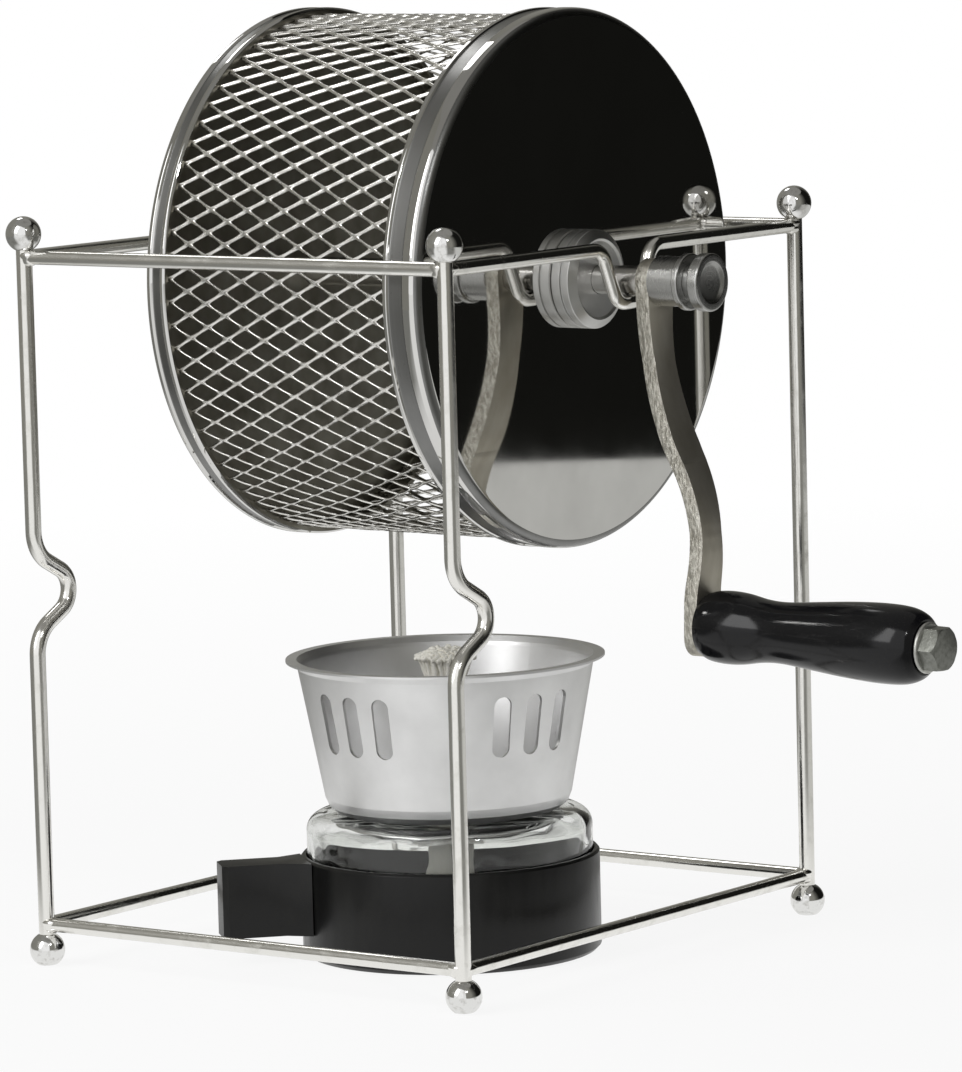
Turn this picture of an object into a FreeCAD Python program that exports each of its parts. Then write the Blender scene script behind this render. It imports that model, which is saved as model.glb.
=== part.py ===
import FreeCAD, Part
import math
import os
import re
import Sketcher

# Hand-cranked coffee bean roaster: a wire stand, a mesh drum that turns on an
# axle laid in two cradle bends, a crank, and a spirit burner under the drum.
# +Z is up, the crank is on the -Y side, and the origin is the centre of the
# stand's footprint on the table. All sizes are in millimetres and degrees.

os.makedirs("parts", exist_ok=True)
doc = FreeCAD.newDocument("roaster")
Vector = FreeCAD.Vector

# Driving dimensions, one per row of the sheet
SIZES = {
    "stand_width": 168,
    "stand_length": 146,
    "post_dia": 4.5,
    "rail_dia": 4,
    "ball_dia": 10,
    "foot_center": 4.8,
    "top_ball_center": 206.4,
    "low_rail_height": 11.5,
    "top_rail_height": 200,
    "jog_height": 105.4,
    "jog_half_rise": 11.5,
    "jog_depth": 21.8,
    "jog_nose_radius": 6.5,
    "jog_end_radius": 10,
    "cradle_half_top": 12,
    "cradle_half_base": 5,
    "cradle_base_radius": 5.6,
    "cradle_shoulder_radius": 6,
    "axle_height": 190.8,
    "axle_dia": 8,
    "axle_tail": 82,
    "axle_nose": 97,
    "bore_gap": 0.05,
    "slide_gap": 0.1,
    "cage_dia": 146,
    "cage_sheet": 0.8,
    "cage_strand": 1.4,
    "cage_front": 52.3,
    "cage_rear": 36.9,
    "cage_margin": 2.2,
    "rim_dia": 150,
    "band_dia": 148.8,
    "cap_sheet": 0.6,
    "rear_face": 37.5,
    "rear_band": 7,
    "lid_face": 56.6,
    "lid_round": 3,
    "lid_band": 44.5,
    "lid_grip_gap": 0.4,
    "hub_dia": 27.5,
    "hub_thick": 7.4,
    "arm_center": 82,
    "arm_thick": 4.2,
    "arm_top_dia": 12.4,
    "arm_end_dia": 11.8,
    "arm_bend_top": 160,
    "arm_bend_low": 127,
    "arm_low_offset": 99.6,
    "arm_hand_offset": 95.9,
    "arm_hand_height": 105,
    "arm_end_height": 93.3,
    "arm_foot": 85,
    "arm_shoulder_radius": 90,
    "arm_elbow_radius": 50,
    "arm_wrist_radius": 40,
    "grip_height": 96.2,
    "grip_droop": 1.6,
    "grip_length": 70.2,
    "grip_gap": 0.3,
    "bolt_dia": 6,
    "bolt_head_dia": 13,
    "bolt_head_thick": 5,
    "bolt_head_round": 7.6,
    "washer_dia": 14,
    "washer_thick": 1,
    "bush_dia": 13.8,
    "bush_flange_dia": 15.7,
    "bush_front": 92.7,
    "bush_flange": 2,
    "cap_nut_dia": 16,
    "cap_nut_waist": 10.4,
    "cap_nut_face": 101.4,
    "cap_nut_head": 3.4,
    "burner_x": -8.9,
    "burner_y": -13.6,
    "holder_dia": 84.7,
    "holder_height": 28.3,
    "holder_wall": 1.5,
    "holder_floor": 2.5,
    "tab_angle": 138,
    "tab_reach": 66.3,
    "tab_root": 41.6,
    "tab_width": 12,
    "tab_low": 7.5,
    "jar_dia": 81,
    "jar_top": 39.8,
    "jar_wall": 2.5,
    "neck_dia": 19,
    "wick_dia": 13,
    "wick_top": 87.6,
    "tube_dia": 15.2,
    "tube_top": 74,
    "cup_rim_dia": 90.2,
    "cup_wall_dia": 83.6,
    "cup_base_dia": 69.8,
    "cup_rim_height": 83.9,
    "cup_base_height": 40,
    "cup_hole_dia": 28,
    "cup_sheet": 0.9,
    "slot_width": 5.2,
    "slot_low": 59.5,
    "slot_high": 76.8,
}
CAGE_COLUMNS = 44
CAGE_ROWS = 5
CAGE_PANELS = 11
SLOT_STEP = 14.5
SLOT_GROUPS = [174.9, 254.1]

dims = doc.addObject("Spreadsheet::Sheet", "dims")
for line, (name, number) in enumerate(SIZES.items(), 1):
    dims.set("A%d" % line, name)
    dims.set("B%d" % line, str(number))
    dims.setAlias("B%d" % line, name)
doc.recompute()

parts = []


def cells(text):
    """Write an expression with each dimension's name pointing at its cell."""
    return re.sub(r"[a-z][a-z_]+", lambda word: "dims." + word.group()
                  if word.group() in SIZES else word.group(), str(text))


def size(text):
    """Work out an expression on the driving dimensions."""
    return float(dims.evalExpression(cells(text)))


def bind(thing, **links):
    for prop, text in links.items():
        thing.setExpression(prop.replace("__", "."), cells(text))
    return thing


def place(thing, x="0", y="0", z="0", rotation=None):
    """Put a piece at a place given by expressions, and keep it bound to them."""
    if rotation:
        thing.Placement.Rotation = rotation
    bind(thing, Placement__Base__x=x, Placement__Base__y=y, Placement__Base__z=z)
    return thing


def keep(thing, label):
    """Name a finished piece and list it for writing."""
    thing.Label = label
    parts.append(thing)
    return thing


def cylinder(name, radius, height, **where):
    rod = doc.addObject("Part::Cylinder", name)
    bind(rod, Radius=radius, Height=height)
    return place(rod, **where)


def cut(name, base, tool):
    result = doc.addObject("Part::Cut", name)
    result.Base = base
    result.Tool = tool
    return result


def union(name, pieces):
    result = doc.addObject("Part::MultiFuse", name)
    result.Shapes = pieces
    return result


def new_sketch(body, name, role):
    sketch = body.newObject("Sketcher::SketchObject", name)
    plane = [p for p in body.Origin.OriginFeatures if p.Role == role][0]
    sketch.AttachmentSupport = [(plane, "")]
    sketch.MapMode = "FlatFace"
    return sketch


def fix_point(sketch, geometry, end, x, y):
    """Hold one point of a sketch at two expressions."""
    for kind, text in (("DistanceX", x), ("DistanceY", y)):
        at = sketch.addConstraint(
            Sketcher.Constraint(kind, -1, 1, geometry, end, size(text)))
        if cells(text) != str(text):
            sketch.setExpression("Constraints[%d]" % at, cells(text))


def closed_outline(sketch, corners):
    """Draw a closed outline of straight lines through bound corners."""
    points = [Vector(size(x), size(y), 0) for x, y in corners]
    count = len(points)
    for i in range(count):
        sketch.addGeometry(Part.LineSegment(points[i], points[(i + 1) % count]))
    for i in range(count):
        sketch.addConstraint(Sketcher.Constraint("Coincident", i, 2, (i + 1) % count, 1))
    for i, (x, y) in enumerate(corners):
        fix_point(sketch, i, 1, x, y)


def turned(name, corners):
    """Make a turned piece from its half section: radius, then height along its axis."""
    body = doc.addObject("PartDesign::Body", name)
    sketch = new_sketch(body, name + "_section", "XZ_Plane")
    closed_outline(sketch, corners)
    turn = body.newObject("PartDesign::Revolution", name + "_turn")
    turn.Profile = sketch
    turn.ReferenceAxis = (sketch, ["V_Axis"])
    turn.Angle = 360
    return body


def bent_bar(name, corners, radii, section):
    """Sweep a section along straight runs joined by tangent bends, in the XZ plane."""
    body = doc.addObject("PartDesign::Body", name)
    path = new_sketch(body, name + "_path", "XZ_Plane")
    points = [Vector(size(x), size(y), 0) for x, y in corners]
    starts, ends, bends = [points[0]], [], []
    for i, radius in enumerate(radii, 1):
        before = (points[i - 1] - points[i]).normalize()
        after = (points[i + 1] - points[i]).normalize()
        half = before.getAngle(after) / 2
        run = size(radius) / math.tan(half)
        middle = (before + after).normalize()
        center = points[i] + middle * (size(radius) / math.sin(half))
        ends.append(points[i] + before * run)
        starts.append(points[i] + after * run)
        bends.append(Part.Arc(ends[-1], center - middle * size(radius), starts[-1]))
    ends.append(points[-1])
    runs = [path.addGeometry(Part.LineSegment(a, b)) for a, b in zip(starts, ends)]
    arcs = [path.addGeometry(bend) for bend in bends]
    fix_point(path, runs[0], 1, *corners[0])
    fix_point(path, runs[-1], 2, *corners[-1])
    for i, arc in enumerate(arcs):
        corner = path.addGeometry(Part.Point(points[i + 1]), True)
        fix_point(path, corner, 1, *corners[i + 1])
        near_end = path.getPoint(runs[i], 2)
        first = 1 if (path.getPoint(arc, 1) - near_end).Length < 1e-6 else 2
        path.addConstraint(Sketcher.Constraint("Tangent", runs[i], 2, arc, first))
        path.addConstraint(Sketcher.Constraint("Tangent", runs[i + 1], 1, arc, 3 - first))
        path.addConstraint(Sketcher.Constraint("PointOnObject", corner, 1, runs[i]))
        path.addConstraint(Sketcher.Constraint("PointOnObject", corner, 1, runs[i + 1]))
        at = path.addConstraint(Sketcher.Constraint("Radius", arc, size(radii[i])))
        path.setExpression("Constraints[%d]" % at, cells(radii[i]))
    profile = section(body)
    pipe = body.newObject("PartDesign::AdditivePipe", name + "_sweep")
    pipe.Profile = profile
    pipe.Spine = (path, [])
    return body


def round_section(role, diameter):
    def draw(body):
        sketch = new_sketch(body, body.Name + "_wire", role)
        ring = sketch.addGeometry(Part.Circle(Vector(0, 0, 0), Vector(0, 0, 1), size(diameter) / 2))
        sketch.addConstraint(Sketcher.Constraint("Coincident", ring, 3, -1, 1))
        at = sketch.addConstraint(Sketcher.Constraint("Diameter", ring, size(diameter)))
        sketch.setExpression("Constraints[%d]" % at, cells(diameter))
        return sketch
    return draw


# Stand corners, as seen from the crank side: left or right, front or rear
CORNERS = {
    "front_left": ("-stand_width / 2", "-stand_length / 2"),
    "front_right": ("stand_width / 2", "-stand_length / 2"),
    "rear_left": ("-stand_width / 2", "stand_length / 2"),
    "rear_right": ("stand_width / 2", "stand_length / 2"),
}

# Four steel wire posts. The two left ones have a rounded V bend half way up.
POST_RISE = "top_ball_center - foot_center"
for corner, (x, y) in CORNERS.items():
    if corner.endswith("right"):
        post = cylinder("post_" + corner, "post_dia / 2", POST_RISE, x=x, y=y, z="foot_center")
    else:
        bend = "jog_height - foot_center"
        post = bent_bar(
            "post_" + corner,
            [("0", "0"), ("0", bend + " - jog_half_rise"), ("jog_depth", bend),
             ("0", bend + " + jog_half_rise"), ("0", POST_RISE)],
            ["jog_end_radius", "jog_nose_radius", "jog_end_radius"],
            round_section("XY_Plane", "post_dia"))
        place(post, x, y, "foot_center")
    keep(post, "post_" + corner)

# Eight drilled steel balls: a foot and a finial on each post. The feet have a small flat.
for corner, (x, y) in CORNERS.items():
    for kind, height in (("foot", "foot_center"), ("finial", "top_ball_center")):
        name = "%s_%s" % (kind, corner)
        ball = place(doc.addObject("Part::Sphere", name + "_ball"), x, y, height)
        bind(ball, Radius="ball_dia / 2")
        if kind == "foot":
            bind(ball, Angle1="-asin(2 * foot_center / ball_dia)")
        hole_from = height if kind == "foot" else height + " - ball_dia"
        hole = cylinder(name + "_hole", "post_dia / 2", "ball_dia", x=x, y=y, z=hole_from)
        keep(cut(name, ball, hole), name)

# Rails are welded to the posts, so their ends are coped to the round of the posts
posts = union("post_rounds", [
    cylinder("round_" + corner, "post_dia / 2", "top_ball_center", x=x, y=y)
    for corner, (x, y) in CORNERS.items()])
ALONG_X = FreeCAD.Rotation(Vector(0, 1, 0), 90)
ALONG_Y = FreeCAD.Rotation(Vector(1, 0, 0), -90)

# Front and rear rails: straight at the bottom, with a cradle bend for the axle at the top
cradle_base = "axle_height - axle_dia / 2 - rail_dia / 2 - slide_gap - top_rail_height"
cross_rails = []
for side, y in (("front", "-stand_length / 2"), ("rear", "stand_length / 2")):
    low = cylinder("low_bar_" + side, "rail_dia / 2", "stand_width",
                   x="-stand_width / 2", y=y, z="low_rail_height", rotation=ALONG_X)
    keep(cut("rail_bottom_" + side, low, posts), "rail_bottom_" + side)
    middle = "stand_width / 2"
    top = bent_bar(
        "top_bar_" + side,
        [("0", "0"),
         (middle + " - cradle_half_top", "0"), (middle + " - cradle_half_base", cradle_base),
         (middle + " + cradle_half_base", cradle_base), (middle + " + cradle_half_top", "0"),
         ("stand_width", "0")],
        ["cradle_shoulder_radius", "cradle_base_radius",
         "cradle_base_radius", "cradle_shoulder_radius"],
        round_section("YZ_Plane", "rail_dia"))
    place(top, "-stand_width / 2", y, "top_rail_height")
    keep(cut("cradle_rail_" + side, top, posts), "cradle_rail_" + side)
    cross_rails += [low, top]

# Side rails, coped to the posts and to the front and rear rails
side_tool = union("side_cope", [posts] + cross_rails)
for side, x in (("left", "-stand_width / 2"), ("right", "stand_width / 2")):
    for level in ("bottom", "top"):
        height = "low_rail_height" if level == "bottom" else "top_rail_height"
        bar = cylinder("side_bar_%s_%s" % (level, side), "rail_dia / 2", "stand_length",
                       x=x, y="-stand_length / 2", z=height, rotation=ALONG_Y)
        name = "rail_%s_%s" % (level, side)
        keep(cut(name, bar, side_tool), name)

# Drum pieces are drawn about their own axis, with heights measured from the
# stand's centre towards the crank, and then laid down at the axle's height
ON_AXLE = FreeCAD.Rotation(Vector(1, 0, 0), 90)
bore = "axle_dia / 2 + bore_gap"
slide_bore = "axle_dia / 2 + slide_gap"


def on_axle(thing, label):
    return keep(place(thing, z="axle_height", rotation=ON_AXLE), label)


on_axle(turned("axle", [
    ("0", "-axle_tail"), ("axle_dia / 2 - 0.6", "-axle_tail"),
    ("axle_dia / 2", "-axle_tail + 0.6"), ("axle_dia / 2", "axle_nose - 0.4"),
    ("axle_dia / 2 - 0.4", "axle_nose"), ("0", "axle_nose")]), "axle")

# Rear end cap: a spun steel disc with a beaded band that grips the mesh
rim, band = "rim_dia / 2", "band_dia / 2"
cage_hold = "cage_dia / 2 + bore_gap"
on_axle(turned("rear_cap", [
    (bore, "-rear_face"), (rim + " - 2.4", "-rear_face"),
    (rim + " - 0.7", "-rear_face + 0.3"), (rim, "-rear_face + 1.1"),
    (rim, "-rear_face + 2.1"), (band, "-rear_face + 2.7"),
    (band, "-rear_face + rear_band - 2.1"), (rim, "-rear_face + rear_band - 1.6"),
    (rim, "-rear_face + rear_band - 0.6"), (band, "-rear_face + rear_band"),
    (cage_hold, "-rear_face + rear_band"), (cage_hold, "-rear_face + rear_band - cap_sheet"),
    (band + " - cap_sheet", "-rear_face + rear_band - cap_sheet"),
    (band + " - cap_sheet", "-rear_face + cap_sheet"),
    (bore, "-rear_face + cap_sheet")]), "rear_cap")

# Front lid: the same band, and a flat polished disc that rounds over into it
lid_hold = "cage_dia / 2 + lid_grip_gap"
lid_rim = "lid_face - lid_round"
lid_edge = [("%s - lid_round * (1 - sin(%d))" % (rim, turn), "%s + lid_round * cos(%d)" % (lid_rim, turn))
            for turn in (0, 30, 60, 90)]
on_axle(turned("lid", [(slide_bore, "lid_face")] + lid_edge + [
    (rim, lid_rim + " - 1.9"), (band, lid_rim + " - 2.4"),
    (band, "lid_band + 2.1"), (rim, "lid_band + 1.6"), (rim, "lid_band + 0.6"),
    (band, "lid_band"), (lid_hold, "lid_band"), (lid_hold, "lid_band + cap_sheet"),
    (band + " - cap_sheet", "lid_band + cap_sheet"), (band + " - cap_sheet", lid_rim + " + 0.7"),
    (rim + " - lid_round", "lid_face - cap_sheet"), (slide_bore, "lid_face - cap_sheet")]), "lid")

# Turned hub nuts: the front one screws the lid on, the rear one holds the rear cap.
# Both have a wide chamfer round a shallow dish.
hub = "hub_dia / 2"
hub_back = "lid_face + slide_gap"
on_axle(turned("hub_nut", [
    (slide_bore, hub_back), (hub + " - 0.4", hub_back), (hub, hub_back + " + 0.4"),
    (hub, hub_back + " + hub_thick - 1.6"), (hub + " - 2.5", hub_back + " + hub_thick"),
    (hub + " - 3.2", hub_back + " + hub_thick - 0.5"),
    (slide_bore, hub_back + " + hub_thick - 0.5")]), "hub_nut")
on_axle(turned("rear_nut", [
    (bore, "-rear_face"), (hub + " - 0.4", "-rear_face"), (hub, "-rear_face - 0.4"),
    (hub, "-rear_face - hub_thick + 1.6"), (hub + " - 2.5", "-rear_face - hub_thick"),
    (hub + " - 3.2", "-rear_face - hub_thick + 0.5"),
    (bore, "-rear_face - hub_thick + 0.5")]), "rear_nut")


def wedge(radius, low, high, angle):
    """A wedge of a many-sided prism about the Z axis, one side wide."""
    far = Vector(radius * math.cos(angle), radius * math.sin(angle), low)
    corners = [Vector(0, 0, low), Vector(radius, 0, low), far, Vector(0, 0, low)]
    return Part.Face(Part.makePolygon(corners)).extrude(Vector(0, 0, high - low))


def mesh_panel(radius, sheet, low, high, rows, strand, margin):
    """A curved panel of expanded metal: one column of diamonds, repeated side by side."""
    angle = 2 * math.pi / CAGE_COLUMNS
    strip = wedge(radius, low, high, angle).cut(wedge(radius - sheet, low, high, angle))
    strip = strip.Solids[0]
    pitch = radius * angle
    length = (high - low - 2 * margin) / rows
    slope = math.atan2(pitch, length)
    half_long = length / 2 - strand / 2 / math.sin(slope)
    half_wide = pitch / 2 - strand / 2 / math.cos(slope)
    depth = 4 * sheet

    def diamond(height, turn):
        points = [Vector(radius - depth, 0, height - half_long),
                  Vector(radius - depth, half_wide, height),
                  Vector(radius - depth, 0, height + half_long),
                  Vector(radius - depth, -half_wide, height)]
        hole = Part.Face(Part.makePolygon(points + points[:1])).extrude(Vector(2 * depth, 0, 0))
        hole.rotate(Vector(0, 0, 0), Vector(0, 0, 1), math.degrees(turn))
        return hole

    holes = []
    for row in range(rows):
        middle = low + margin + length * (row + 0.5)
        holes += [diamond(middle, 0), diamond(middle, angle)]
        if row:
            holes.append(diamond(middle - length / 2, angle / 2))
    strip = strip.cut(holes).Solids[0]
    walls, first_side, last_side = [], [], []
    for face in strip.Faces:
        normal = face.normalAt(0, 0)
        center = face.CenterOfMass
        on_seam = abs(normal.z) < 1e-6 and abs(normal.dot(center)) < 1e-6
        if not on_seam:
            walls.append(face)
        elif abs(center.y) < 1e-6:
            first_side.append(face)
        else:
            last_side.append(face)

    def column_of(pieces, column):
        copies = [piece.copy() for piece in pieces]
        for copy in copies:
            copy.rotate(Vector(0, 0, 0), Vector(0, 0, 1), math.degrees(angle) * column)
        return copies

    columns = CAGE_COLUMNS // CAGE_PANELS
    faces = first_side + column_of(last_side, columns - 1)
    for column in range(columns):
        faces += column_of(walls, column)
    shell = Part.makeShell(faces)
    shell.sewShape()
    return Part.Solid(shell)


# Mesh of the drum: panels of expanded metal that meet edge to edge round the axle
panel = mesh_panel(size("cage_dia / 2"), size("cage_sheet"), -size("cage_rear"),
                   size("cage_front"), CAGE_ROWS, size("cage_strand"), size("cage_margin"))
panels = []
for number in range(CAGE_PANELS):
    panels.append(panel.copy())
    panels[-1].rotate(Vector(0, 0, 0), Vector(0, 0, 1), 360 / CAGE_PANELS * number)
cage = doc.addObject("Part::Feature", "mesh_cage")
cage.Shape = Part.makeCompound(panels)
on_axle(cage, "mesh_cage")

# Crank arm: a flat bar with a slow S bend, seen from the side, and a waisted
# outline with round ends, seen from the front
arm_path = [("-arm_center", "axle_height + arm_top_dia"), ("-arm_center", "arm_bend_top"),
            ("-arm_low_offset", "arm_bend_low"), ("-arm_hand_offset", "arm_hand_height"),
            ("-arm_hand_offset + tan(grip_droop) * (arm_hand_height - arm_foot)", "arm_foot")]


def flat_section(body):
    """The bar's cross section at the top of the arm."""
    sketch = new_sketch(body, body.Name + "_bar", "XY_Plane")
    sketch.AttachmentOffset.Base = Vector(0, 0, size(arm_path[0][1]))
    sketch.setExpression("AttachmentOffset.Base.z", cells(arm_path[0][1]))
    near, far = "-arm_center - arm_thick / 2", "-arm_center + arm_thick / 2"
    closed_outline(sketch, [(near, "-arm_top_dia"), (far, "-arm_top_dia"),
                            (far, "arm_top_dia"), (near, "arm_top_dia")])
    return sketch


bar = bent_bar("arm_bar", arm_path,
               ["arm_shoulder_radius", "arm_elbow_radius", "arm_wrist_radius"], flat_section)
bar.Placement.Rotation = FreeCAD.Rotation(Vector(0, 0, 1), 90)
face = doc.addObject("PartDesign::Body", "arm_face")
face_sketch = new_sketch(face, "arm_outline", "XZ_Plane")
right_side = [("arm_top_dia / 2", "axle_height"), ("arm_top_dia / 2 - 1.4", "axle_height - 22"),
              ("arm_top_dia / 2 - 0.3", "arm_bend_top - 14"), ("arm_top_dia / 2 - 1.5", "arm_bend_low - 5"),
              ("arm_end_dia / 2", "arm_end_height + 10"), ("arm_end_dia / 2", "arm_end_height")]
left_side = [("-(%s)" % x, y) for x, y in reversed(right_side)]
closed_outline(face_sketch, right_side + left_side)
face_pad = face.newObject("PartDesign::Pad", "arm_pad")
face_pad.Profile = face_sketch
bind(face_pad, Length="arm_low_offset + 2 * arm_thick")
outline = union("arm_front", [
    face,
    cylinder("arm_round_top", "arm_top_dia / 2", "arm_low_offset + 2 * arm_thick",
             z="axle_height", rotation=ON_AXLE),
    cylinder("arm_round_end", "arm_end_dia / 2", "arm_low_offset + 2 * arm_thick",
             z="arm_end_height", rotation=ON_AXLE)])
blank = doc.addObject("Part::MultiCommon", "arm_blank")
blank.Shapes = [bar, outline]

# The grip's own axis droops a little, square to the arm's lower end
grip_y = "-(arm_hand_offset - tan(grip_droop) * (arm_hand_height - grip_height))"
ON_GRIP = FreeCAD.Rotation(Vector(1, 0, 0), 90 + size("grip_droop"))


def on_grip(thing):
    return place(thing, y=grip_y, z="grip_height", rotation=ON_GRIP)


axle_hole = cylinder("arm_axle_hole", bore, "2 * arm_low_offset", z="axle_height", rotation=ON_AXLE)
bolt_hole = on_grip(cylinder("arm_bolt_hole", "bolt_dia / 2 + bore_gap", "4 * arm_thick"))
bolt_hole_back = on_grip(cylinder("arm_bolt_hole_back", "bolt_dia / 2 + bore_gap", "4 * arm_thick"))
bolt_hole_back.Placement.Rotation = FreeCAD.Rotation(Vector(1, 0, 0), size("grip_droop") - 90)
keep(cut("crank_arm", blank, union("arm_holes", [axle_hole, bolt_hole, bolt_hole_back])), "crank_arm")

# Flanged bush in front of the arm, and the spool-shaped cap nut that clamps it
arm_front = "arm_center + arm_thick / 2"
on_axle(turned("crank_bush", [
    (bore, arm_front), ("bush_dia / 2", arm_front), ("bush_dia / 2", "bush_front"),
    ("bush_flange_dia / 2 - 0.3", "bush_front"), ("bush_flange_dia / 2", "bush_front + 0.4"),
    ("bush_flange_dia / 2", "bush_front + bush_flange - 0.4"),
    ("bush_flange_dia / 2 - 0.4", "bush_front + bush_flange"),
    (bore, "bush_front + bush_flange")]), "crank_bush")
cap_base = "bush_front + bush_flange"
cap = "cap_nut_dia / 2"
on_axle(turned("cap_nut", [
    (bore, cap_base), ("cap_nut_waist / 2", cap_base),
    ("cap_nut_waist / 2", "cap_nut_face - cap_nut_head"),
    (cap + " - 0.5", "cap_nut_face - cap_nut_head"), (cap, "cap_nut_face - cap_nut_head + 0.5"),
    (cap, "cap_nut_face - 0.5"), (cap + " - 0.6", "cap_nut_face"), (cap + " - 2.2", "cap_nut_face"),
    (cap + " - 3.4", "cap_nut_face - 0.8"), ("0", "cap_nut_face - 1.1"),
    ("0", "axle_nose + bore_gap"), (bore, "axle_nose + bore_gap")]), "cap_nut")

# Grip: a turned handle lofted through circles, bored for the bolt it spins on.
# Each circle is a share of the grip's length and a radius.
GRIP_STATIONS = [(0, 8.7), (0.036, 9.7), (0.1, 10.1), (0.172, 9.8), (0.266, 8.7), (0.36, 8.5),
                 (0.503, 9.4), (0.66, 10.4), (0.805, 10.9), (0.912, 10.6), (0.97, 9.4), (1, 7.6)]
grip_start = "arm_thick / 2 + grip_gap"
circles = []
for number, (along, radius) in enumerate(GRIP_STATIONS):
    circle = doc.addObject("Part::Circle", "grip_circle_%d" % number)
    circle.Radius = radius
    bind(circle, Placement__Base__z="%s + grip_length * %s" % (grip_start, along))
    circles.append(circle)
handle = doc.addObject("Part::Loft", "grip_loft")
handle.Sections = circles
handle.Solid = True
handle.Ruled = False
grip = cut("grip", handle, cylinder("grip_bore", "bolt_dia / 2 + slide_gap", "2 * grip_length"))
keep(on_grip(grip), "grip")

# Grip bolt: its rounded hexagon head shows at the grip's end, with a washer under it.
# The shank goes through the grip and is screwed into the arm, flush with its back.
shank = "bolt_dia / 2"
hold = shank + " + bore_gap"
washer_low = grip_start + " + grip_length + grip_gap"
head_low = washer_low + " + washer_thick"
arm_back, arm_face = "-arm_thick / 2", "arm_thick / 2"
bolt_shank = turned("bolt_shank", [
    ("0", arm_back), (hold + " - 0.6", arm_back), (hold, arm_back + " + 0.6"),
    (hold, arm_face), (shank, arm_face), (shank, head_low), ("0", head_low)])
hexagon = doc.addObject("Part::Prism", "head_blank")
hexagon.Polygon = 6
bind(hexagon, Circumradius="bolt_head_dia / 2", Height="bolt_head_thick", Placement__Base__z=head_low)
head_ball = doc.addObject("Part::Sphere", "head_round")
bind(head_ball, Radius="bolt_head_round", Placement__Base__z=head_low)
bolt_head = doc.addObject("Part::MultiCommon", "bolt_head")
bolt_head.Shapes = [hexagon, head_ball]
keep(on_grip(union("grip_bolt", [bolt_shank, bolt_head])), "grip_bolt")
washer = turned("grip_washer", [
    (hold, washer_low), ("washer_dia / 2", washer_low), ("washer_dia / 2", washer_low + " + 0.7"),
    ("washer_dia / 2 - 0.3", head_low), (hold, head_low)])
keep(on_grip(washer), "grip_washer")


def on_burner(thing, label):
    return keep(place(thing, "burner_x", "burner_y"), label)


# Burner holder: a black moulded dish with a box tab to carry it by
holder = turned("burner_holder", [
    ("0", "0"), ("holder_dia / 2 - 1.2", "0"), ("holder_dia / 2", "1.2"),
    ("holder_dia / 2", "holder_height - 0.7"), ("holder_dia / 2 - 0.6", "holder_height"),
    ("holder_dia / 2 - holder_wall", "holder_height"),
    ("holder_dia / 2 - holder_wall", "holder_floor"), ("0", "holder_floor")])
tab_sketch = new_sketch(holder, "tab_outline", "XY_Plane")
tab_sketch.AttachmentOffset.Rotation = FreeCAD.Rotation(Vector(0, 0, 1), size("tab_angle"))
tab_sketch.setExpression("AttachmentOffset.Base.z", cells("tab_low"))
closed_outline(tab_sketch, [
    ("tab_root", "-tab_width / 2 - 3.5"), ("tab_root + 7", "-tab_width / 2"),
    ("tab_reach - 1.5", "-tab_width / 2"), ("tab_reach", "-tab_width / 2 + 1.5"),
    ("tab_reach", "tab_width / 2 - 1.5"), ("tab_reach - 1.5", "tab_width / 2"),
    ("tab_root + 7", "tab_width / 2"), ("tab_root", "tab_width / 2 + 3.5")])
tab = holder.newObject("PartDesign::Pad", "tab")
tab.Profile = tab_sketch
bind(tab, Length="holder_height - 0.2 - tab_low")
on_burner(holder, "burner_holder")

# Glass spirit jar with a rounded shoulder and an open neck
jar, inner = "jar_dia / 2", "jar_dia / 2 - jar_wall"
jar_foot = "holder_floor + 0.1"
on_burner(turned("spirit_jar", [
    ("0", jar_foot), (jar + " - 4", jar_foot), (jar + " - 1.2", jar_foot + " + 1.2"),
    (jar, jar_foot + " + 4"), (jar, "jar_top - 4.2"), (jar + " - 0.8", "jar_top - 2"),
    (jar + " - 2.6", "jar_top - 0.5"), (jar + " - 5", "jar_top"), ("neck_dia / 2", "jar_top"),
    ("neck_dia / 2", "jar_top - jar_wall"), (inner + " - 3.4", "jar_top - jar_wall"),
    (inner + " - 1.2", "jar_top - jar_wall - 1.2"), (inner, "jar_top - jar_wall - 3.4"),
    (inner, jar_foot + " + jar_wall + 3"), (inner + " - 3", jar_foot + " + jar_wall"),
    ("0", jar_foot + " + jar_wall")]), "spirit_jar")

# Wick tube: a metal collar seated in the neck, with a tall tube for the wick
tube_bore = "wick_dia / 2 + slide_gap"
plug = "neck_dia / 2 - bore_gap"
on_burner(turned("wick_tube", [
    (tube_bore, "jar_top - 4"), (plug, "jar_top - 4"), (plug, "jar_top"),
    ("cup_hole_dia / 2 - 1", "jar_top"), ("cup_hole_dia / 2 - 1", "jar_top + 1.2"),
    ("tube_dia / 2", "jar_top + 1.2"), ("tube_dia / 2", "tube_top"), (tube_bore, "tube_top")]),
    "wick_tube")
wick = "wick_dia / 2"
on_burner(turned("wick", [
    ("0", jar_foot + " + jar_wall + 8"), (wick, jar_foot + " + jar_wall + 8"), (wick, "wick_top - 2.6"),
    (wick + " - 1", "wick_top - 0.9"), (wick + " - 3", "wick_top"), ("0", "wick_top")]), "wick")

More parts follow.
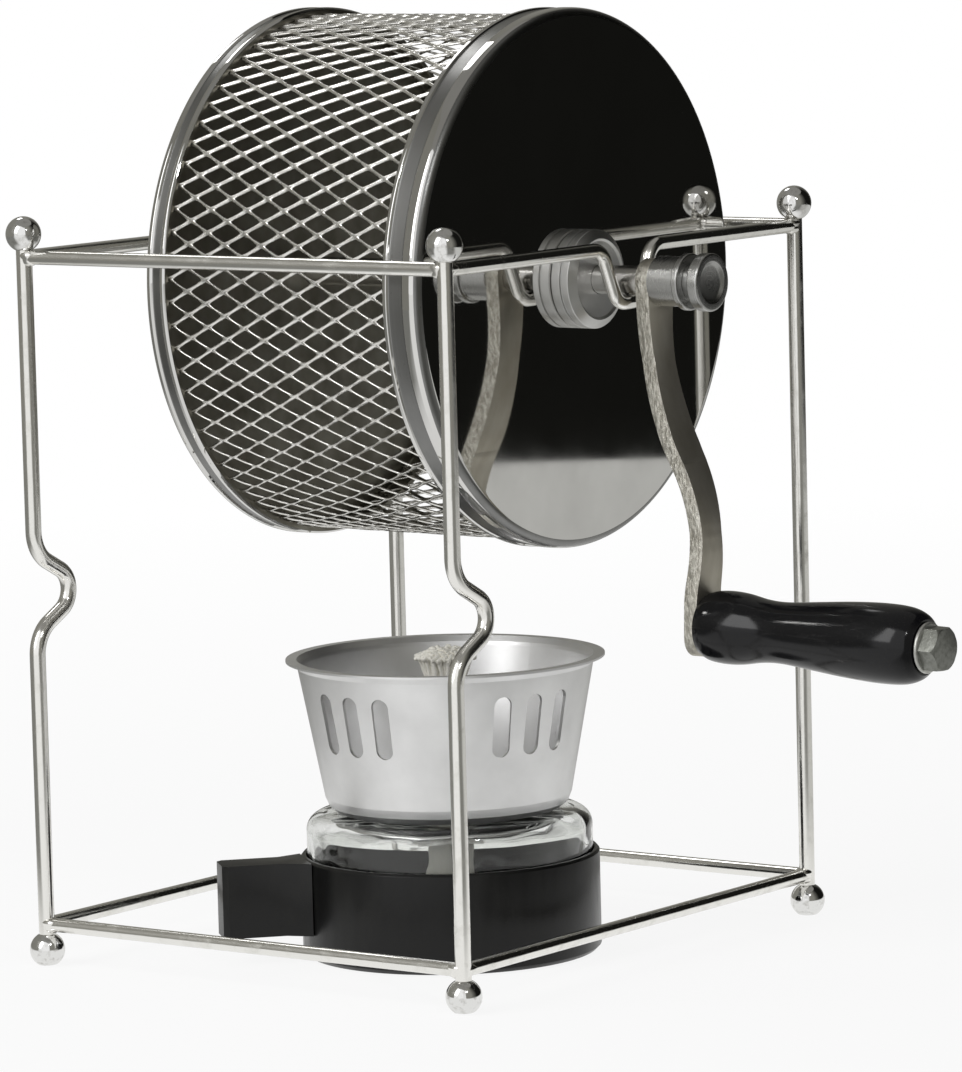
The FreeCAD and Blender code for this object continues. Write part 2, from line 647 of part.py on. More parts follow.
# Flame cup: a spun aluminium bowl with a turned-out lip and two groups of three slots
wall, base_round = "cup_wall_dia / 2", "cup_base_dia / 2"
bowl = turned("cup_bowl", [
    ("cup_hole_dia / 2", "cup_base_height"), (base_round + " - 6", "cup_base_height"),
    (base_round + " - 3", "cup_base_height + 0.7"), (base_round + " - 1", "cup_base_height + 2.4"),
    (base_round, "cup_base_height + 4.8"), (wall, "cup_rim_height - 2.4"),
    (wall + " + 0.8", "cup_rim_height - 0.9"), ("cup_rim_dia / 2", "cup_rim_height - 0.6"),
    ("cup_rim_dia / 2", "cup_rim_height"), (wall + " + 0.2", "cup_rim_height"),
    (wall + " - 0.7", "cup_rim_height - 1.6"), (wall + " - cup_sheet - 0.1", "cup_rim_height - 2.6"),
    (base_round + " - cup_sheet", "cup_base_height + 5"),
    (base_round + " - 1.8", "cup_base_height + 3"), (base_round + " - 3.5", "cup_base_height + 1.6"),
    (base_round + " - 6.2", "cup_base_height + cup_sheet"),
    ("cup_hole_dia / 2", "cup_base_height + cup_sheet")])


def slot_tool(angle):
    """A round-ended bar that punches one slot through the bowl's wall."""
    half, reach = size("slot_width / 2"), size("cup_rim_dia / 2")
    low, high = size("slot_low") + half, size("slot_high") - half
    side = Vector(0, half, 0)
    up = Vector(0, 0, half)
    lower, upper = Vector(reach / 2, 0, low), Vector(reach / 2, 0, high)
    edges = [Part.LineSegment(lower - side, upper - side).toShape(),
             Part.Arc(upper - side, upper + up, upper + side).toShape(),
             Part.LineSegment(upper + side, lower + side).toShape(),
             Part.Arc(lower + side, lower - up, lower - side).toShape()]
    tool = Part.Face(Part.Wire(edges)).extrude(Vector(reach, 0, 0))
    tool.rotate(Vector(0, 0, 0), Vector(0, 0, 1), angle)
    return tool


slots = doc.addObject("Part::Feature", "slot_tools")
slots.Shape = Part.makeCompound([
    slot_tool(group + step * SLOT_STEP) for group in SLOT_GROUPS for step in (-1, 0, 1)])
on_burner(cut("flame_cup", bowl, slots), "flame_cup")

doc.recompute()
faults = [o.Label for o in doc.Objects if {"Invalid", "Error"} & set(o.State)]
faults += [p.Label for p in parts if p.Shape.isNull() or not p.Shape.isValid()]
if faults:
    raise SystemExit("these pieces failed: " + ", ".join(faults))
for part in parts:
    part.Shape.exportStep("parts/%s.step" % part.Label)
    print("%-22s %10.1f mm3" % (part.Label, part.Shape.Volume))
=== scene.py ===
import math

import bmesh
import bpy
from mathutils import Matrix, Vector


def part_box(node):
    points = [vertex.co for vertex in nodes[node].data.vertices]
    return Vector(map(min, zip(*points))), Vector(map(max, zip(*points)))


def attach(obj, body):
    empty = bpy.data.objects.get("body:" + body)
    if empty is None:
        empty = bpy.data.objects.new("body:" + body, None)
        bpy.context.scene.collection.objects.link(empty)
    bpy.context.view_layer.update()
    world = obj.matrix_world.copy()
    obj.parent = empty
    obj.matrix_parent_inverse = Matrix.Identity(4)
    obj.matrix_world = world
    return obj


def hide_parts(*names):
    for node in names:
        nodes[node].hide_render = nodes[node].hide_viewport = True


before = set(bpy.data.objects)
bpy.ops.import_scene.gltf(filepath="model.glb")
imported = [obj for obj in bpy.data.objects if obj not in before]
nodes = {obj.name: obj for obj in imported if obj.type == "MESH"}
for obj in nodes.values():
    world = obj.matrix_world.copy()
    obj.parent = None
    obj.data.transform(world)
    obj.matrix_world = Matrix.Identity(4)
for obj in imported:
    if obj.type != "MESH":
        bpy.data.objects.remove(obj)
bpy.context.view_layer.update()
mm = 0.001


# The photograph's view: a long lens on the crank side, a little above the axle.
# Its place and its three directions come from the stand's balls and rails.
camera_place = Vector((-1.42272, -1.06946, 0.32611))
camera_right = Vector((0.59076, -0.80645, -0.02539))
camera_up = Vector((0.10968, 0.04908, 0.99275))
camera_back = camera_right.cross(camera_up)
lens = bpy.data.cameras.new("camera")
lens.lens = 211.93
lens.sensor_width = 36
lens.clip_end = 20
camera = bpy.data.objects.new("camera", lens)
turn = Matrix((camera_right, camera_up, camera_back)).transposed()
camera.matrix_world = Matrix.Translation(camera_place) @ turn.to_4x4()
bpy.context.scene.collection.objects.link(camera)
bpy.context.scene.camera = camera
bpy.context.scene.view_settings.view_transform = "Standard"


# A material is drawn as Python expressions. A Signal is one socket of a shader,
# and a Finish is the sheet of nodes that it lies on.
class Signal:
    def __init__(self, finish, socket):
        self.finish = finish
        self.socket = socket

    def math(self, operation, *values):
        settings = {"operation": operation}
        return self.finish.node("ShaderNodeMath", settings, dict(enumerate(values)))

    def __add__(self, other):
        return self.math("ADD", self, other)

    def __sub__(self, other):
        return self.math("SUBTRACT", self, other)

    def __rsub__(self, other):
        return self.math("SUBTRACT", other, self)

    def __mul__(self, other):
        return self.math("MULTIPLY", self, other)

    def __abs__(self):
        return self.math("ABSOLUTE", self)

    __radd__ = __add__
    __rmul__ = __mul__


class Finish:
    def __init__(self, name):
        self.material = bpy.data.materials.new(name)
        self.material.use_nodes = True
        self.tree = self.material.node_tree
        self.tree.nodes.clear()

    def node(self, kind, settings=None, sockets=None, out=0):
        """Add a node of any kind: its settings first, then its sockets' values or links."""
        made = self.tree.nodes.new(kind)
        for key, value in (settings or {}).items():
            setattr(made, key, value)
        for key, value in (sockets or {}).items():
            if isinstance(value, Signal):
                self.tree.links.new(value.socket, made.inputs[key])
            else:
                made.inputs[key].default_value = value
        return Signal(self, made.outputs[out]) if made.outputs else None

    def spot(self, stretch=(1, 1, 1), center=(0, 0, 0)):
        """The place on the piece in millimetres from a centre, stretched along each axis."""
        here = self.node("ShaderNodeTexCoord", out=3)
        per_metre = [1 / mm * s for s in stretch]
        shift = [-c * s for c, s in zip(center, per_metre)]
        return self.node("ShaderNodeMapping", None,
                         {"Vector": here, "Scale": per_metre, "Location": shift})

    def noise(self, spot, scale, detail=3.0, roughness=0.55):
        return self.node("ShaderNodeTexNoise", None,
                         {"Vector": spot, "Scale": scale, "Detail": detail, "Roughness": roughness})

    def between(self, signal, low, high):
        """0 below low, 1 above high, and a straight line between them."""
        return self.node("ShaderNodeMapRange", {"clamp": True},
                         {0: signal, 1: low, 2: high, 3: 0.0, 4: 1.0})

    def blend(self, share, first, second):
        return self.node("ShaderNodeMix", {"data_type": "RGBA"},
                         {0: share, 6: self.colour(first), 7: self.colour(second)}, out=2)

    def colour(self, shade):
        if isinstance(shade, Signal):
            return shade
        return (*shade, 1)

    def bump(self, height, depth, strength=1.0):
        """Raise the surface by height times depth, in millimetres."""
        return self.node("ShaderNodeBump", None,
                         {"Height": height, "Distance": depth * mm, "Strength": strength})

    def surface(self, **looks):
        sockets = {}
        for key, value in looks.items():
            name = key.replace("_", " ")
            sockets[name] = self.colour(value) if isinstance(value, tuple) else value
        shader = self.node("ShaderNodeBsdfPrincipled", None, sockets)
        self.node("ShaderNodeOutputMaterial", None, {"Surface": shader})
        return self.material


def paint(piece, material):
    """Give a CAD node or a new piece one material."""
    piece.data.materials.clear()
    piece.data.materials.append(material)
    return piece


# The stage: a pale floor that fades into a white surround, and soft lamps. Polished
# metal also sees grey studio walls with a white opening on the lamp's side. Straight
# ahead of the lid's mirror the walls are dark, and the floor before them is grey.
floor_size = 8.0
floor_drop = 0.0002
mirror_way = math.radians(-36)
window_way = math.radians(193)
bpy.ops.mesh.primitive_plane_add(size=floor_size, location=(0, 0, -floor_drop))
floor = bpy.context.object
floor.name = "floor"
table = Finish("floor_paint")
camera_sees = table.node("ShaderNodeLightPath", out=0)
metal_sees = table.node("ShaderNodeLightPath", out=3)
glass_sees = table.node("ShaderNodeLightPath", out=6)
here = table.spot()
away = table.node("ShaderNodeVectorMath", {"operation": "LENGTH"}, {0: here}, out=1)
heading = table.node("ShaderNodeVectorMath", {"operation": "NORMALIZE"}, {0: here})
to_window = table.node("ShaderNodeVectorMath", {"operation": "DOT_PRODUCT"}, {
    0: heading, 1: (math.cos(window_way), math.sin(window_way), 0)}, out=1)
ahead = table.node("ShaderNodeVectorMath", {"operation": "DOT_PRODUCT"}, {
    0: heading, 1: (math.cos(mirror_way), math.sin(mirror_way), 0)}, out=1)
# What metal sees of the floor is a glow with painted light and shade: a painted pool of light near the
# stand and towards the window, and painted shade further out (the share named dull), darkest ahead of the
# lid's mirror.
dull = table.between(away, 150.0, 300.0) * (1.0 - table.between(to_window, 0.74, 0.86))
fade = 0.88 + 0.12 * table.between(away, 250.0, 1100.0)
pale = table.node("ShaderNodeBsdfDiffuse", None, {"Color": (0.86, 0.86, 0.86, 1)})
white = table.node("ShaderNodeEmission", None, {"Color": (1, 1, 1, 1), "Strength": 1.0})
table_shade = table.blend(table.between(ahead, 0.50, 0.80), (0.22, 0.22, 0.205), (0.58, 0.58, 0.56))
in_mirror = table.blend(dull, (0.90, 0.90, 0.89), table_shade)
grey = table.node("ShaderNodeEmission", None, {"Color": in_mirror, "Strength": 1.0})
seen = table.node("ShaderNodeMixShader", None, {0: fade, 1: pale, 2: white})
mirrored = table.node("ShaderNodeMixShader", None, {0: metal_sees, 1: pale, 2: grey})
through = table.node("ShaderNodeMixShader", None, {0: glass_sees, 1: mirrored, 2: seen})
both = table.node("ShaderNodeMixShader", None, {0: camera_sees, 1: through, 2: seen})
table.node("ShaderNodeOutputMaterial", None, {"Surface": both})
floor.data.materials.append(table.material)

world = bpy.data.worlds.new("surround")
bpy.context.scene.world = world
world.use_nodes = True
air = world.node_tree
air.nodes.clear()
path = air.nodes.new("ShaderNodeLightPath")
seen_air = air.nodes.new("ShaderNodeMath")
seen_or_bent = air.nodes.new("ShaderNodeMath")
pick = air.nodes.new("ShaderNodeMixShader")
surround = air.nodes.new("ShaderNodeOutputWorld")
skies = []
for strength in (0.40, 1.0):
    sky = air.nodes.new("ShaderNodeBackground")
    sky.inputs["Color"].default_value = (1, 1, 1, 1)
    sky.inputs["Strength"].default_value = strength
    skies.append(sky)
for source, target in ((path.outputs["Is Camera Ray"], seen_air.inputs[0]),
                       (path.outputs["Is Glossy Ray"], seen_air.inputs[1]),
                       (seen_air.outputs[0], seen_or_bent.inputs[0]),
                       (path.outputs["Is Transmission Ray"], seen_or_bent.inputs[1]),
                       (seen_or_bent.outputs[0], pick.inputs[0]),
                       (skies[0].outputs[0], pick.inputs[1]), (skies[1].outputs[0], pick.inputs[2]),
                       (pick.outputs[0], surround.inputs["Surface"])):
    air.links.new(source, target)

aim = Vector((0, 0, 0.13))
for lamp_name, place, lamp_size, power in (
        ("window", (-2.0, 0.9, 1.5), 1.8, 34.0),
        ("spot", (-0.62, -1.00, 0.95), 0.09, 1.6),
        ("overhead", (0.42, 0.80, 1.25), 0.34, 1.3)):
    light = bpy.data.lights.new(lamp_name, "AREA")
    light.size = lamp_size
    light.energy = power
    lamp = bpy.data.objects.new(lamp_name, light)
    lamp.location = place
    lamp.rotation_euler = (Vector(place) - aim).to_track_quat("Z", "Y").to_euler()
    bpy.context.scene.collection.objects.link(lamp)


def mirrored_only(piece, finish, color):
    """Make a stage piece that glows in one colour and that only mirrors see."""
    glow = finish.node("ShaderNodeEmission", None, {"Color": color, "Strength": 1.0})
    finish.node("ShaderNodeOutputMaterial", None, {"Surface": glow})
    piece.data.materials.append(finish.material)
    piece.visible_camera = False
    piece.visible_diffuse = False
    piece.visible_shadow = False
    piece.visible_transmission = False


walls_reach = 1.35
walls_tall = 2.0
walls_from = math.radians(-131)
walls_to = math.radians(157)
walls_steps = 60
walls_verts, walls_faces = [], []
for step in range(walls_steps + 1):
    angle = walls_from + (walls_to - walls_from) * step / walls_steps
    foot = (walls_reach * math.cos(angle), walls_reach * math.sin(angle))
    walls_verts += [(*foot, 0), (*foot, walls_tall)]
    if step:
        low = 2 * step
        walls_faces.append((low - 2, low, low + 1, low - 1))
walls_mesh = bpy.data.meshes.new("room")
walls_mesh.from_pydata(walls_verts, [], walls_faces)
walls = bpy.data.objects.new("room", walls_mesh)
bpy.context.scene.collection.objects.link(walls)
wall_paint = Finish("room_paint")
heading = wall_paint.node("ShaderNodeVectorMath", {"operation": "NORMALIZE"}, {
    0: wall_paint.spot((1, 1, 0))})
ahead = wall_paint.node("ShaderNodeVectorMath", {"operation": "DOT_PRODUCT"}, {
    0: heading, 1: (math.cos(mirror_way), math.sin(mirror_way), 0)}, out=1)
depth = wall_paint.between(ahead, 0.45, 0.92)
mirrored_only(walls, wall_paint, wall_paint.blend(depth, (0.24, 0.235, 0.21), (0.008, 0.008, 0.007)))
bpy.ops.mesh.primitive_plane_add(size=2 * walls_reach, location=(0, 0, walls_tall))
ceiling = bpy.context.object
ceiling.name = "ceiling"
mirrored_only(ceiling, Finish("ceiling_paint"), (0.26, 0.255, 0.24, 1))


# Stand posts: four bright steel wires, drawn and then polished. The two left ones
# have a rounded V bend half way up. The posts and rails are one welded frame.
corner_names = ("front_left", "front_right", "rear_left", "rear_right")
foot_low, foot_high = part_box("foot_front_left")
stand_x = abs(foot_low.x + foot_high.x) / 2
stand_y = abs(foot_low.y + foot_high.y) / 2
ball_radius = (foot_high.x - foot_low.x) / 2
post_low, post_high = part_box("post_front_right")
post_radius = (post_high.x - post_low.x) / 2
jog_middle = 105.4 * mm
jog_half_rise = 11.5 * mm
jog_depth = 21.8 * mm
jog_nose_radius = 6.5 * mm
jog_end_radius = 10 * mm


def rounded(points, radii):
    """A run of points whose inner corners are turned into arcs of the given radii."""
    path = [points[0]]
    for before, corner, after, radius in zip(points, points[1:], points[2:], radii):
        back = (before - corner).normalized()
        ahead = (after - corner).normalized()
        half = back.angle(ahead) / 2
        middle = (back + ahead).normalized()
        center = corner + middle * radius / math.sin(half)
        start = (corner + back * radius / math.tan(half) - center).normalized()
        end = (corner + ahead * radius / math.tan(half) - center).normalized()
        steps = max(4, round(math.degrees(math.pi - 2 * half) / 5))
        path += [center + start.slerp(end, step / steps) * radius for step in range(steps + 1)]
    return path + [points[-1]]


def wire(name, points, radius, sides=24):
    """A round wire along a run of points."""
    curve = bpy.data.curves.new(name, "CURVE")
    curve.dimensions = "3D"
    curve.bevel_depth = radius
    curve.bevel_resolution = sides // 4
    curve.use_fill_caps = True
    spline = curve.splines.new("POLY")
    spline.points.add(len(points) - 1)
    for point, place in zip(spline.points, points):
        point.co = (*place, 1)
    strand = bpy.data.objects.new(name + "_curve", curve)
    bpy.context.scene.collection.objects.link(strand)
    mesh = bpy.data.meshes.new_from_object(strand)
    bpy.data.objects.remove(strand)
    return new_piece(name, mesh)


def new_piece(name, mesh):
    mesh.name = name
    piece = bpy.data.objects.new(name, mesh)
    bpy.context.scene.collection.objects.link(piece)
    mesh.polygons.foreach_set("use_smooth", [True] * len(mesh.polygons))
    return piece


def wire_finish(name, along):
    """Bright plated wire with faint drawing lines along it and small dull patches."""
    bright, dull = (0.86, 0.85, 0.82), (0.66, 0.65, 0.60)
    finish = Finish(name)
    lines = finish.noise(finish.spot([0.06 if a else 1.0 for a in along]), 2.6, 2.0)
    patches = finish.noise(finish.spot(), 0.16, 4.0)
    wear = finish.between(patches, 0.52, 0.70)
    return finish.surface(
        Base_Color=finish.blend(wear * 0.4, bright, dull), Metallic=1.0,
        Roughness=0.10 + 0.10 * lines + 0.12 * wear,
        Normal=finish.bump(lines, 0.012))


post_finish = wire_finish("wire_up", (0, 0, 1))
for corner in corner_names:
    x = -stand_x if corner.endswith("left") else stand_x
    y = -stand_y if corner.startswith("front") else stand_y
    column = [Vector((x, y, post_low.z)), Vector((x, y, post_high.z))]
    if corner.endswith("left"):
        jog = [(0, -jog_half_rise), (jog_depth, 0), (0, jog_half_rise)]
        column[1:1] = [Vector((x + dx, y, jog_middle + dz)) for dx, dz in jog]
        column = rounded(column, (jog_end_radius, jog_nose_radius, jog_end_radius))
    post = wire("wire_post_" + corner, column, post_radius)
    paint(post, post_finish)
    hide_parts("post_" + corner)
    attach(post, "stand")


# Stand rails: thinner wire, butted to the posts and welded. Each joint has a small
# uneven bead, and the two top cross rails dip into a cradle for the axle.
rail_low, rail_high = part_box("rail_bottom_front")
rail_radius = (rail_high.z - rail_low.z) / 2
bottom_z = (rail_high.z + rail_low.z) / 2
top_low, top_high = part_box("rail_top_left")
top_z = (top_high.z + top_low.z) / 2
cradle_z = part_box("cradle_rail_front")[0].z + rail_radius
cradle_half_top = 12 * mm
cradle_half_base = 5 * mm
cradle_shoulder_radius = 6 * mm
cradle_base_radius = 5.6 * mm
tuck = post_radius * 0.6


def weld_bead(name, center, away, radius):
    """A small blob of weld where a rail meets a post, longer along the rail."""
    bead = bmesh.new()
    bmesh.ops.create_icosphere(bead, subdivisions=3, radius=radius)
    for vertex in bead.verts:
        reach = vertex.co.dot(away)
        swell = 1 + 0.10 * math.sin(vertex.co.z / radius * 5 + center.x * 900)
        vertex.co = (vertex.co + away * reach * 0.35) * swell + center
    mesh = bpy.data.meshes.new(name)
    bead.to_mesh(mesh)
    bead.free()
    return new_piece(name, mesh)


rail_finishes = {"x": wire_finish("wire_across", (1, 0, 0)), "y": wire_finish("wire_back", (0, 1, 0))}
for side, y in (("front", -stand_y), ("rear", stand_y)):
    low_run = [Vector((-stand_x + tuck, y, bottom_z)), Vector((stand_x - tuck, y, bottom_z))]
    top_run = [Vector((-stand_x + tuck, y, top_z))]
    top_run += [Vector((x, y, z)) for x, z in (
        (-cradle_half_top, top_z), (-cradle_half_base, cradle_z),
        (cradle_half_base, cradle_z), (cradle_half_top, top_z))]
    top_run += [Vector((stand_x - tuck, y, top_z))]
    top_run = rounded(top_run, (cradle_shoulder_radius, cradle_base_radius,
                                cradle_base_radius, cradle_shoulder_radius))
    for rail, run in (("rail_bottom_" + side, low_run), ("cradle_rail_" + side, top_run)):
        piece = wire("wire_" + rail, run, rail_radius)
        paint(piece, rail_finishes["x"])
        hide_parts(rail)
        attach(piece, "stand")
for side, x in (("left", -stand_x), ("right", stand_x)):
    for level, z in (("bottom", bottom_z), ("top", top_z)):
        rail = "rail_%s_%s" % (level, side)
        run = [Vector((x, -stand_y + tuck, z)), Vector((x, stand_y - tuck, z))]
        piece = wire("wire_" + rail, run, rail_radius)
        paint(piece, rail_finishes["y"])
        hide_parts(rail)
        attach(piece, "stand")
bead_radius = 2.35 * mm
for corner in corner_names:
    x = -stand_x if corner.endswith("left") else stand_x
    y = -stand_y if corner.startswith("front") else stand_y
    for level, z in (("bottom", bottom_z), ("top", top_z)):
        for way, away in (("x", Vector((-x, 0, 0))), ("y", Vector((0, -y, 0)))):
            away = away.normalized()
            spot = Vector((x, y, z)) + away * post_radius * 0.75
            bead = weld_bead("weld_%s_%s_%s" % (level, corner, way), spot, away, bead_radius)
            paint(bead, rail_finishes[way])
            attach(bead, "stand")


# Balls: four feet and four finials, drilled steel balls pressed on the posts' ends.
# The feet have a small worn flat. They are polished, with a little scuffing.
ball_finish = Finish("polished_ball")
scuffs = ball_finish.between(ball_finish.noise(ball_finish.spot(), 0.55, 5.0, 0.6), 0.50, 0.74)
ball_finish = ball_finish.surface(
    Base_Color=ball_finish.blend(scuffs, (0.80, 0.80, 0.79), (0.55, 0.54, 0.52)), Metallic=1.0,
    Roughness=0.08 + 0.20 * scuffs)


def ball(name, center, radius, flat):
    """A ball whose lowest part is cut off flat at the given depth below its centre."""
    body = bmesh.new()
    bmesh.ops.create_uvsphere(body, u_segments=48, v_segments=32, radius=radius)
    for vertex in body.verts:
        vertex.co.z = max(vertex.co.z, -flat)
        vertex.co += center
    bmesh.ops.remove_doubles(body, verts=body.verts, dist=radius * 0.001)
    mesh = bpy.data.meshes.new(name)
    body.to_mesh(mesh)
    body.free()
    return new_piece(name, mesh)


for corner in corner_names:
    for kind in ("foot", "finial"):
        node = "%s_%s" % (kind, corner)
        low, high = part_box(node)
        center = Vector(((low.x + high.x) / 2, (low.y + high.y) / 2, high.z - ball_radius))
        round_ball = ball("ball_" + node, center, ball_radius, center.z - low.z)
        paint(round_ball, ball_finish)
        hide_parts(node)
        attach(round_ball, "stand")


# Axle: one turned steel rod through the whole drum, from the rear cradle to the cap
# nut. The caps, the nuts and the crank all sit on it.
axle_low, axle_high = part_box("axle")
axle_z = (axle_low.z + axle_high.z) / 2
axle_radius = (axle_high.z - axle_low.z) / 2
LAID_DOWN = Matrix.Translation((0, 0, axle_z)) @ Matrix.Rotation(math.radians(90), 4, "X")


def turned(name, outline, place, turns):
    """Turn an outline of (radius, height, corner radius) in millimetres about its axis."""
    points = [Vector((r * mm, h * mm, 0)) for r, h, _ in outline]
    count = len(points)
    section = []
    for i, (_, _, soft) in enumerate(outline):
        if soft > 0:
            arc = rounded([points[i - 1], points[i], points[(i + 1) % count]], [soft * mm])
            section += arc[1:-1]
        else:
            section.append(points[i])
    rings = len(section)
    verts = []
    for step in range(turns):
        angle = 2 * math.pi * step / turns
        verts += [place @ Vector((p.x * math.cos(angle), p.x * math.sin(angle), p.y))
                  for p in section]
    faces = []
    for step in range(turns):
        here, there = step * rings, (step + 1) % turns * rings
        for i in range(rings):
            j = (i + 1) % rings
            faces.append((here + i, there + i, there + j, here + j))
    mesh = bpy.data.meshes.new(name)
    mesh.from_pydata(verts, [], faces)
    shell = bmesh.new()
    shell.from_mesh(mesh)
    bmesh.ops.remove_doubles(shell, verts=shell.verts, dist=0.002 * mm)
    bmesh.ops.recalc_face_normals(shell, faces=shell.faces)
    shell.to_mesh(mesh)
    shell.free()
    piece = new_piece(name, mesh)
    mesh.set_sharp_from_angle(angle=math.radians(38))
    return piece


def turned_finish(name, color, center, rough, grooves):
    """Metal turned or spun about the drum's axis: fine rings, and a soft uneven sheen."""
    finish = Finish(name)
    spot = finish.spot((1, 0, 1), center)
    radius = finish.node("ShaderNodeVectorMath", {"operation": "LENGTH"}, {0: spot}, out=1)
    along = finish.node("ShaderNodeSeparateXYZ", None, {0: finish.spot((1, 1, 1), center)}, out=1)
    ring_spot = finish.node("ShaderNodeCombineXYZ", None, {0: radius, 1: along, 2: 0.0})
    rings = finish.noise(ring_spot, grooves, 3.0, 0.7)
    cloud = finish.between(finish.noise(finish.spot(), 0.12, 4.0), 0.35, 0.75)
    dark = tuple(c * 0.72 for c in color)
    return finish.surface(
        Base_Color=finish.blend(cloud * 0.5, color, dark), Metallic=1.0,
        Roughness=rough + 0.12 * rings + 0.08 * cloud,
        Normal=finish.bump(rings, 0.02))


axis_point = (0, 0, axle_z)
axle_finish = turned_finish("turned_steel", (0.62, 0.61, 0.59), axis_point, 0.14, 3.0)
paint(nodes["axle"], axle_finish)


# Drum mesh: one sheet of expanded metal rolled into a tube. Every strand is twisted a
# little, so that the diamonds overlap like scales and one side of each catches light.
cage_low, cage_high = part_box("mesh_cage")
cage_radius = (cage_high.z - cage_low.z) / 2
mesh_columns = 70
mesh_rows = 7
mesh_length = (cage_high.y - cage_low.y - 0.2 * mm) / mesh_rows
mesh_pitch = 2 * math.pi / mesh_columns
strand_width = 1.12 * mm
strand_twist = 0.36 * mm
strand_swell = 0.05 * mm
sheet_thick = 0.5 * mm
hole_roundness = 1.16
side_steps = 5


def diamond_tile():
    """One diamond of the sheet with half a strand round it, bent round the drum's axis."""
    half_wide = cage_radius * mesh_pitch / 2
    half_long = mesh_length / 2
    slope = math.atan2(half_wide, half_long)
    hole_wide = half_wide - strand_width / 2 / math.cos(slope)
    hole_long = half_long - strand_width / 2 / math.sin(slope)
    signs = ((1, 1), (-1, 1), (-1, -1), (1, -1))
    verts = []
    for quarter, (sx, sy) in enumerate(signs):
        for step in range(side_steps):
            share = step / side_steps
            if quarter % 2:
                share = 1 - share
            wide, long = half_wide * (1 - share) * sx, half_long * share * sy
            along_wide, along_long = abs(wide) / hole_wide, abs(long) / hole_long
            stretch = (along_wide ** hole_roundness + along_long ** hole_roundness)
            inner = stretch ** (-1 / hole_roundness)
            twist = max(-1, min(1, 1.8 * wide * inner / hole_wide)) * strand_twist
            for portion, raised in ((1, 0), ((1 + inner) / 2, strand_swell + twist * 0.5),
                                    (inner, twist)):
                angle = wide * portion / cage_radius
                reach = cage_radius - strand_twist + raised
                verts.append((reach * math.cos(angle), long * portion, reach * math.sin(angle)))
    count = 4 * side_steps
    faces = []
    for i in range(count):
        j = (i + 1) % count
        for ring in range(2):
            faces.append((3 * i + ring, 3 * j + ring, 3 * j + ring + 1, 3 * i + ring + 1))
    mesh = bpy.data.meshes.new("diamond_tile")
    mesh.from_pydata(verts, [], faces)
    tile = bpy.data.objects.new("diamond_tile", mesh)
    bpy.context.scene.collection.objects.link(tile)
    return tile


class Repeat:
    """A Geometry Nodes group that places copies of one piece by a formula of their number."""

    def __init__(self, name, count):
        self.tree = bpy.data.node_groups.new(name, "GeometryNodeTree")
        for way in ("OUTPUT", "INPUT"):
            self.tree.interface.new_socket("Geometry", in_out=way, socket_type="NodeSocketGeometry")
        self.given = {}
        self.copied = self.tree.nodes.new("NodeGroupInput")
        self.count = self.input("Count", count)
        self.index = self.add("GeometryNodeInputIndex")

    def input(self, label, value):
        """Add an input of the group, and remember the value that it is to have."""
        kind = "Int" if isinstance(value, int) else "Float"
        made = self.tree.interface.new_socket(label, in_out="INPUT", socket_type="NodeSocket" + kind)
        self.given[made.identifier] = value
        return self.copied.outputs[label]

    def add(self, kind, settings=None, sockets=None):
        made = self.tree.nodes.new(kind)
        for key, value in (settings or {}).items():
            setattr(made, key, value)
        for key, value in (sockets or {}).items():
            if isinstance(value, bpy.types.NodeSocket):
                self.tree.links.new(value, made.inputs[key])
            else:
                made.inputs[key].default_value = value
        return made.outputs[0] if made.outputs else None

    def calc(self, operation, first, second=0.0):
        return self.add("ShaderNodeMath", {"operation": operation}, {0: first, 1: second})

    def triple(self, x=0.0, y=0.0, z=0.0):
        return self.add("ShaderNodeCombineXYZ", None, {0: x, 1: y, 2: z})

    def grow(self, seed, position, rotation, lift, material, weld=0.0):
        """Place the copies of a seed piece, join them, lift them and make them one mesh."""
        points = self.add("GeometryNodePoints", None, {"Count": self.count, "Position": position})
        copies = self.add("GeometryNodeInstanceOnPoints", None, {
            "Points": points, "Instance": self.copied.outputs["Geometry"], "Rotation": rotation})
        real = self.add("GeometryNodeRealizeInstances", None, {"Geometry": copies})
        joined = self.add("GeometryNodeMergeByDistance", None, {"Geometry": real, "Distance": weld})
        lifted = self.add("GeometryNodeTransform", None, {"Geometry": joined, "Translation": lift})
        smooth = self.add("GeometryNodeSetShadeSmooth", None, {"Geometry": lifted})
        dressed = self.add("GeometryNodeSetMaterial", None, {"Geometry": smooth, "Material": material})
        self.add("NodeGroupOutput", None, {"Geometry": dressed})
        rows = seed.modifiers.new("repeat", "NODES")
        rows.node_group = self.tree
        for identifier, value in self.given.items():
            rows[identifier] = value
        return rows


def finished(name, seed):
    """The mesh of a seed piece with all its modifiers, as a new piece of its own."""
    piece = new_piece(name, bpy.data.meshes.new_from_object(
        seed.evaluated_get(bpy.context.evaluated_depsgraph_get())))
    seed.modifiers.clear()
    bpy.data.objects.remove(seed)
    return piece


